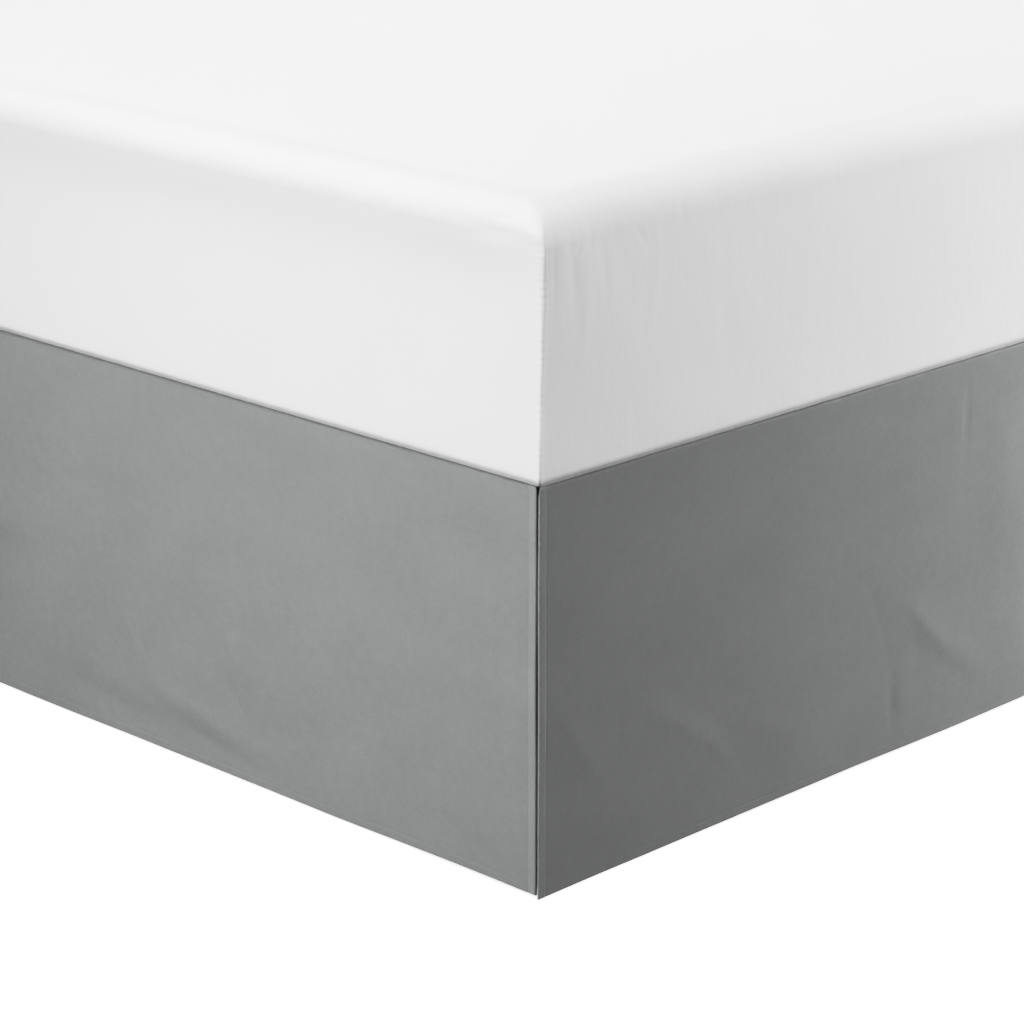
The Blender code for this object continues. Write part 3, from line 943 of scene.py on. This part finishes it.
def make_deck(material):
    """The flat cloth over the base, slightly uneven, with a soft edge."""
    half_x = DECK_HIGH.x
    edge = DECK_HIGH.z - DECK_LOW.z
    steps = edge_steps(edge / 2, DECK_SPOTS)
    axes = []
    for low, high in ((-half_x, half_x), (DECK_LOW.y, DECK_HIGH.y)):
        count = round((high - low - 2 * DECK_MARGIN) / DECK_CELL)
        middle = np.linspace(low + DECK_MARGIN, high - DECK_MARGIN, count + 1)
        near = [low + step for step in steps]
        far = [high - step for step in reversed(steps)]
        axes.append(np.concatenate([near, middle, far]))
    x, y = np.meshgrid(*axes)
    from_sides = np.minimum(x + half_x, half_x - x)
    distance = np.minimum(from_sides, np.minimum(y - DECK_LOW.y, DECK_HIGH.y - y))
    draw = rounded_edge(distance, edge)
    slack = DECK_SLACK * (1 + np.sin(x * 19.0 + y * 7.0)) * smoothstep(0.002, 0.03, distance)
    top = np.stack((x, y, DECK_HIGH.z - draw - slack), axis=2).reshape(-1, 3)
    under = np.stack((x, y, DECK_LOW.z + draw), axis=2).reshape(-1, 3)
    rows, columns = x.shape
    faces = grid_faces(rows, columns, 0, False)
    faces += grid_faces(rows, columns, rows * columns, True)
    faces += rim_faces(rows, columns, rows * columns, False)
    obj = mesh_object("deck_cloth", np.concatenate([top, under]), faces, [material])
    weld_close_points(obj)
    place_piece(obj, "deck_fabric", "deck")
    return obj


# Materials


def new_material(name, colour, roughness, sheen=0.0):
    material = bpy.data.materials.new(name)
    material.use_nodes = True
    shader = material.node_tree.nodes["Principled BSDF"]
    shader.inputs["Base Color"].default_value = (*colour, 1.0)
    shader.inputs["Roughness"].default_value = roughness
    shader.inputs["Sheen Weight"].default_value = sheen
    shader.inputs["Sheen Roughness"].default_value = 0.5
    shader.inputs["Specular IOR Level"].default_value = 0.25
    return material, material.node_tree, shader


def noise_node(tree, vector, scale, detail=3.0, roughness=0.5):
    made = tree.nodes.new("ShaderNodeTexNoise")
    made.inputs["Scale"].default_value = scale
    made.inputs["Detail"].default_value = detail
    made.inputs["Roughness"].default_value = roughness
    tree.links.new(vector, made.inputs["Vector"])
    return made.outputs["Fac"]


def math_node(tree, operation, first, second):
    made = tree.nodes.new("ShaderNodeMath")
    made.operation = operation
    for socket, value in zip(made.inputs, (first, second)):
        if isinstance(value, (int, float)):
            socket.default_value = value
        else:
            tree.links.new(value, socket)
    return made.outputs[0]


def tinted(tree, factor, dark, light):
    ramp = tree.nodes.new("ShaderNodeValToRGB")
    ramp.color_ramp.elements[0].color = (*dark, 1.0)
    ramp.color_ramp.elements[1].color = (*light, 1.0)
    tree.links.new(factor, ramp.inputs["Fac"])
    return ramp


def bump(tree, shader, height, strength, distance):
    made = tree.nodes.new("ShaderNodeBump")
    made.inputs["Strength"].default_value = strength
    made.inputs["Distance"].default_value = distance
    tree.links.new(height, made.inputs["Height"])
    tree.links.new(made.outputs["Normal"], shader.inputs["Normal"])


def object_coordinates(tree, stretch=(1, 1, 1)):
    coordinates = tree.nodes.new("ShaderNodeTexCoord")
    mapping = tree.nodes.new("ShaderNodeMapping")
    mapping.inputs["Scale"].default_value = stretch
    tree.links.new(coordinates.outputs["Object"], mapping.inputs["Vector"])
    return mapping.outputs["Vector"]


# The near side hem's colour is made lighter by this share: a painted highlight
HEM_PAINTED_HIGHLIGHT = 0.08
HEM_HIGHLIGHT_EDGE = 0.0006


def skirt_material():
    colour = (0.276, 0.2815, 0.279)
    material, tree, shader = new_material("brushed_grey_cloth", colour, 0.85, sheen=0.25)
    place = object_coordinates(tree)
    nap = noise_node(tree, place, 90.0, 4.0, 0.6)
    cloud = noise_node(tree, object_coordinates(tree, (9, 9, 16)), 1.0, 3.0)
    grain = noise_node(tree, place, 330.0, 2.0, 0.6)
    mottle = math_node(tree, "ADD", math_node(tree, "ADD", nap, cloud), grain)
    mottle = math_node(tree, "MULTIPLY", mottle, 1 / 3)
    ramp = tinted(tree, mottle, (0.2540, 0.2594, 0.2570), (0.2892, 0.2946, 0.2920))
    ramp.color_ramp.elements[0].position = 0.30
    ramp.color_ramp.elements[1].position = 0.70
    # Painted highlight: the near side hem's colour is made lighter
    hem_painted_highlight = tree.nodes.new("ShaderNodeAttribute")
    hem_painted_highlight.attribute_name = "hem_painted_highlight"
    added = math_node(tree, "MULTIPLY", hem_painted_highlight.outputs["Fac"], HEM_PAINTED_HIGHLIGHT)
    brightness = math_node(tree, "ADD", 1.0, added)
    lighter = tree.nodes.new("ShaderNodeHueSaturation")
    tree.links.new(brightness, lighter.inputs["Value"])
    tree.links.new(ramp.outputs["Color"], lighter.inputs["Color"])
    tree.links.new(lighter.outputs["Color"], shader.inputs["Base Color"])
    threads = noise_node(tree, place, 1400.0, 2.0, 0.5)
    height = math_node(tree, "ADD", threads, math_node(tree, "MULTIPLY", nap, 0.5))
    bump(tree, shader, height, 0.35, 0.0006)
    return material


def thread_material():
    material, tree, shader = new_material("grey_thread", (0.245, 0.25, 0.247), 0.7)
    twist = noise_node(tree, object_coordinates(tree), 2500.0)
    ramp = tinted(tree, twist, (0.225, 0.23, 0.227), (0.262, 0.267, 0.264))
    tree.links.new(ramp.outputs["Color"], shader.inputs["Base Color"])
    return material


def deck_material():
    """Plain thin cotton with a visible cross weave."""
    material, tree, shader = new_material("plain_deck_cotton", (0.42, 0.43, 0.42), 0.9, sheen=0.1)
    across = noise_node(tree, object_coordinates(tree, (1600, 90, 90)), 1.0, 2.0)
    along = noise_node(tree, object_coordinates(tree, (90, 1600, 90)), 1.0, 2.0)
    weave = math_node(tree, "ADD", across, along)
    mixed = math_node(tree, "MULTIPLY", weave, 0.5)
    ramp = tinted(tree, mixed, (0.385, 0.395, 0.385), (0.45, 0.46, 0.45))
    ramp.color_ramp.elements[0].position = 0.35
    ramp.color_ramp.elements[1].position = 0.65
    tree.links.new(ramp.outputs["Color"], shader.inputs["Base Color"])
    bump(tree, shader, weave, 0.3, 0.0004)
    return material


def base_material():
    """Coarse flecked upholstery cloth."""
    material, tree, shader = new_material("flecked_base_cloth", (0.50, 0.49, 0.465), 0.9, sheen=0.15)
    place = object_coordinates(tree)
    fleck = noise_node(tree, place, 420.0, 3.0, 0.6)
    ramp = tinted(tree, fleck, (0.40, 0.39, 0.37), (0.58, 0.57, 0.54))
    ramp.color_ramp.elements[0].position = 0.38
    ramp.color_ramp.elements[1].position = 0.62
    tree.links.new(ramp.outputs["Color"], shader.inputs["Base Color"])
    threads = noise_node(tree, object_coordinates(tree, (500, 500, 1100)), 1.0, 2.0)
    bump(tree, shader, math_node(tree, "ADD", fleck, threads), 0.4, 0.0008)
    return material


def leg_material():
    """Straight-grained beech under a thin satin varnish."""
    material, tree, shader = new_material("satin_beech", (0.40, 0.25, 0.135), 0.45)
    grain = noise_node(tree, object_coordinates(tree, (90, 90, 5)), 1.0, 5.0, 0.6)
    pores = noise_node(tree, object_coordinates(tree, (900, 900, 40)), 1.0, 2.0)
    ramp = tinted(tree, grain, (0.30, 0.17, 0.085), (0.50, 0.33, 0.185))
    ramp.color_ramp.elements[0].position = 0.33
    ramp.color_ramp.elements[1].position = 0.67
    tree.links.new(ramp.outputs["Color"], shader.inputs["Base Color"])
    rough = math_node(tree, "ADD", 0.36, math_node(tree, "MULTIPLY", pores, 0.18))
    tree.links.new(rough, shader.inputs["Roughness"])
    bump(tree, shader, math_node(tree, "ADD", grain, pores), 0.15, 0.0005)
    return material


def dress_node(name, material):
    """Gives a kept solid its finish, in its own slots."""
    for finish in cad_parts[name].material_slots:
        finish.material = material


def cover_material():
    material, tree, shader = new_material("white_cotton", (0.805, 0.805, 0.805), 0.75, sheen=0.1)
    place = object_coordinates(tree)
    cloud = noise_node(tree, place, 9.0, 3.0)
    ramp = tinted(tree, cloud, (0.800, 0.800, 0.800), (0.810, 0.810, 0.810))
    tree.links.new(ramp.outputs["Color"], shader.inputs["Base Color"])
    creases = noise_node(tree, object_coordinates(tree, (18, 60, 30)), 1.0, 4.0, 0.6)
    weave = noise_node(tree, place, 1800.0, 1.0)
    deep = math_node(tree, "MULTIPLY", creases, 2.0)
    height = math_node(tree, "ADD", deep, math_node(tree, "MULTIPLY", weave, 0.25))
    bump(tree, shader, height, 0.25, 0.001)
    return material


# Stage, lights and camera

# How far inside the skirt's faces the floor's glow fades to the painted shadow under the bed
FLOOR_SHADOW_FADE = 0.03
FLOOR_GLOW = 0.98
FLOOR_SIZE = 30.0
SKY_GLOW = 0.02
SKY_FADE = (-0.02, 0.20)
COMBINED_CURVE = 3


def make_floor():
    """A bright floor whose glow fades out under the bed, a painted shadow there, and doesn't reach the cloth.
    """
    signs = ((-1, -1), (1, -1), (1, 1), (-1, 1))
    points = [(sign_x * FLOOR_SIZE, sign_y * FLOOR_SIZE, 0) for sign_x, sign_y in signs]
    material, tree, shader = new_material("pale_floor", (0.5, 0.5, 0.5), 1.0)
    shader.inputs["Specular IOR Level"].default_value = 0.0
    shader.inputs["Emission Color"].default_value = (1, 1, 1, 1)
    coordinates = tree.nodes.new("ShaderNodeTexCoord")
    parts = tree.nodes.new("ShaderNodeSeparateXYZ")
    tree.links.new(coordinates.outputs["Object"], parts.inputs["Vector"])
    # Painted shadow: the glow fades to nothing just inside the skirt's faces, so the floor is dark under the
    # bed
    past_side = math_node(tree, "SUBTRACT", math_node(tree, "ABSOLUTE", parts.outputs["X"], 0), X_FACE)
    past_end = math_node(tree, "SUBTRACT", math_node(tree, "ABSOLUTE", parts.outputs["Y"], 0), Y_FACE)
    past = math_node(tree, "MAXIMUM", past_side, past_end)
    ramp = tree.nodes.new("ShaderNodeMapRange")
    ramp.interpolation_type = "SMOOTHSTEP"
    ramp.inputs["From Min"].default_value = -FLOOR_SHADOW_FADE
    ramp.inputs["From Max"].default_value = 0.0
    ramp.inputs["To Max"].default_value = FLOOR_GLOW
    tree.links.new(past, ramp.inputs["Value"])
    tree.links.new(ramp.outputs["Result"], shader.inputs["Emission Strength"])
    floor = mesh_object("floor", points, [(0, 1, 2, 3)], [material], smooth=False)
    floor.visible_diffuse = False
    floor.visible_glossy = False
    return floor


# A lamp is a flat softbox: its middle, the point that it faces, its width and height, and its watts
Lamp = namedtuple("Lamp", "name place target size power")

LAMPS = [
    Lamp("foot_softbox", (0.9, -3.6, 1.4), (0.5, -1.0, 0.3), (1.6, 1.2), 34.6),
    Lamp("foot_high", (0.3, -2.4, 2.4), (0.4, -0.9, 0.4), (0.8, 0.8), 16.7),
    Lamp("foot_floor", (0.35, -2.5, 0.2), (0.45, -1.0, 0.4), (0.7, 0.3), 7.9),
    Lamp("right_near", (1.9, 1.2, 1.0), (0.75, 0.3, 0.3), (0.8, 0.8), 4.2),
    Lamp("right_near_low", (2.2, 1.3, 0.6), (0.75, 0.3, 0.3), (0.8, 0.6), 22.0),
    Lamp("right_mid", (3.4, 0.6, 1.5), (0.75, 0.2, 0.3), (1.6, 1.4), 29.8),
    Lamp("right_floor", (2.2, 1.0, 0.2), (0.75, 0.4, 0.4), (0.8, 0.3), 6.2),
    Lamp("top_softbox", (0.0, 0.0, 3.4), (0.0, 0.0, 0.0), (3.0, 3.0), 45.0),
    Lamp("top_left", (-1.4, -0.6, 3.0), (0.0, -0.3, 0.5), (2.0, 2.0), 3.5),
    Lamp("top_back", (-0.8, 1.6, 3.0), (0.0, 0.0, 0.5), (2.4, 2.4), 8.6),
    Lamp("back_high", (-2.6, 2.8, 2.4), (0.2, -0.4, 0.6), (2.0, 1.6), 35.4),
    Lamp("left_fill", (-3.6, -0.4, 1.6), (-0.76, 0.0, 0.3), (2.4, 1.6), 50.0),
    Lamp("head_fill", (0.4, 4.2, 1.6), (0.0, 1.0, 0.3), (2.4, 1.6), 45.0),
]

# Scene light against shown light: deep greys are held down and whites roll off softly
TONES = [
    (0.00, 0.000),
    (0.07, 0.060),
    (0.15, 0.146),
    (0.28, 0.386),
    (0.42, 0.575),
    (0.60, 0.732),
    (0.80, 0.867),
    (1.00, 1.000),
]


def area_light(name, place, target, size, power):
    data = bpy.data.lights.new(name, "AREA")
    data.shape = "RECTANGLE"
    data.size, data.size_y = size
    data.energy = power
    light = bpy.data.objects.new(name, data)
    light.location = place
    light.rotation_euler = (Vector(target) - Vector(place)).to_track_quat("-Z", "Y").to_euler()
    bpy.context.scene.collection.objects.link(light)
    return light


def set_tones():
    view = bpy.context.scene.view_settings
    view.view_transform = "Standard"
    view.use_curve_mapping = True
    curve = view.curve_mapping.curves[COMBINED_CURVE]
    curve.points[0].location = TONES[0]
    curve.points[1].location = TONES[-1]
    for place in TONES[1:-1]:
        curve.points.new(*place)
    view.curve_mapping.update()


def make_world(strength):
    """A dim even glow from above the horizon, and none from below it."""
    world = bpy.data.worlds.new("studio")
    world.use_nodes = True
    tree = world.node_tree
    coordinates = tree.nodes.new("ShaderNodeTexCoord")
    parts = tree.nodes.new("ShaderNodeSeparateXYZ")
    tree.links.new(coordinates.outputs["Generated"], parts.inputs["Vector"])
    ramp = tree.nodes.new("ShaderNodeMapRange")
    ramp.inputs["From Min"].default_value = SKY_FADE[0]
    ramp.inputs["From Max"].default_value = SKY_FADE[1]
    ramp.inputs["To Max"].default_value = strength
    tree.links.new(parts.outputs["Z"], ramp.inputs["Value"])
    tree.links.new(ramp.outputs["Result"], tree.nodes["Background"].inputs["Strength"])
    tree.nodes["Background"].inputs["Color"].default_value = (1, 1, 1, 1)
    bpy.context.scene.world = world


CAMERA_FROM_CORNER = Vector((2.0078, -2.06, 1.2741))
CAMERA_LENS = 124.15
CAMERA_PITCH = 17.66
CAMERA_YAW = 44.74


def make_camera():
    data = bpy.data.cameras.new("camera")
    data.lens = CAMERA_LENS
    data.sensor_width = 36.0
    camera = bpy.data.objects.new("camera", data)
    camera.location = Vector((X_FACE, -Y_FACE, HEM_CLEARANCE)) + CAMERA_FROM_CORNER
    camera.rotation_euler = (math.radians(90 - CAMERA_PITCH), 0, math.radians(CAMERA_YAW))
    bpy.context.scene.collection.objects.link(camera)
    bpy.context.scene.camera = camera


def main():
    make_camera()
    make_world(SKY_GLOW)
    make_floor()
    for lamp in LAMPS:
        area_light(*lamp)
    set_tones()
    grey = skirt_material()
    thread = thread_material()
    for drop in DROPS:
        cloth = make_drop(drop, grey)
        stitches = make_stitches(drop, thread)
    make_cover(cover_material())
    make_deck(deck_material())
    dress_node("bed_base", base_material())
    beech = leg_material()
    for name in LEG_NAMES:
        dress_node(name, beech)


main()
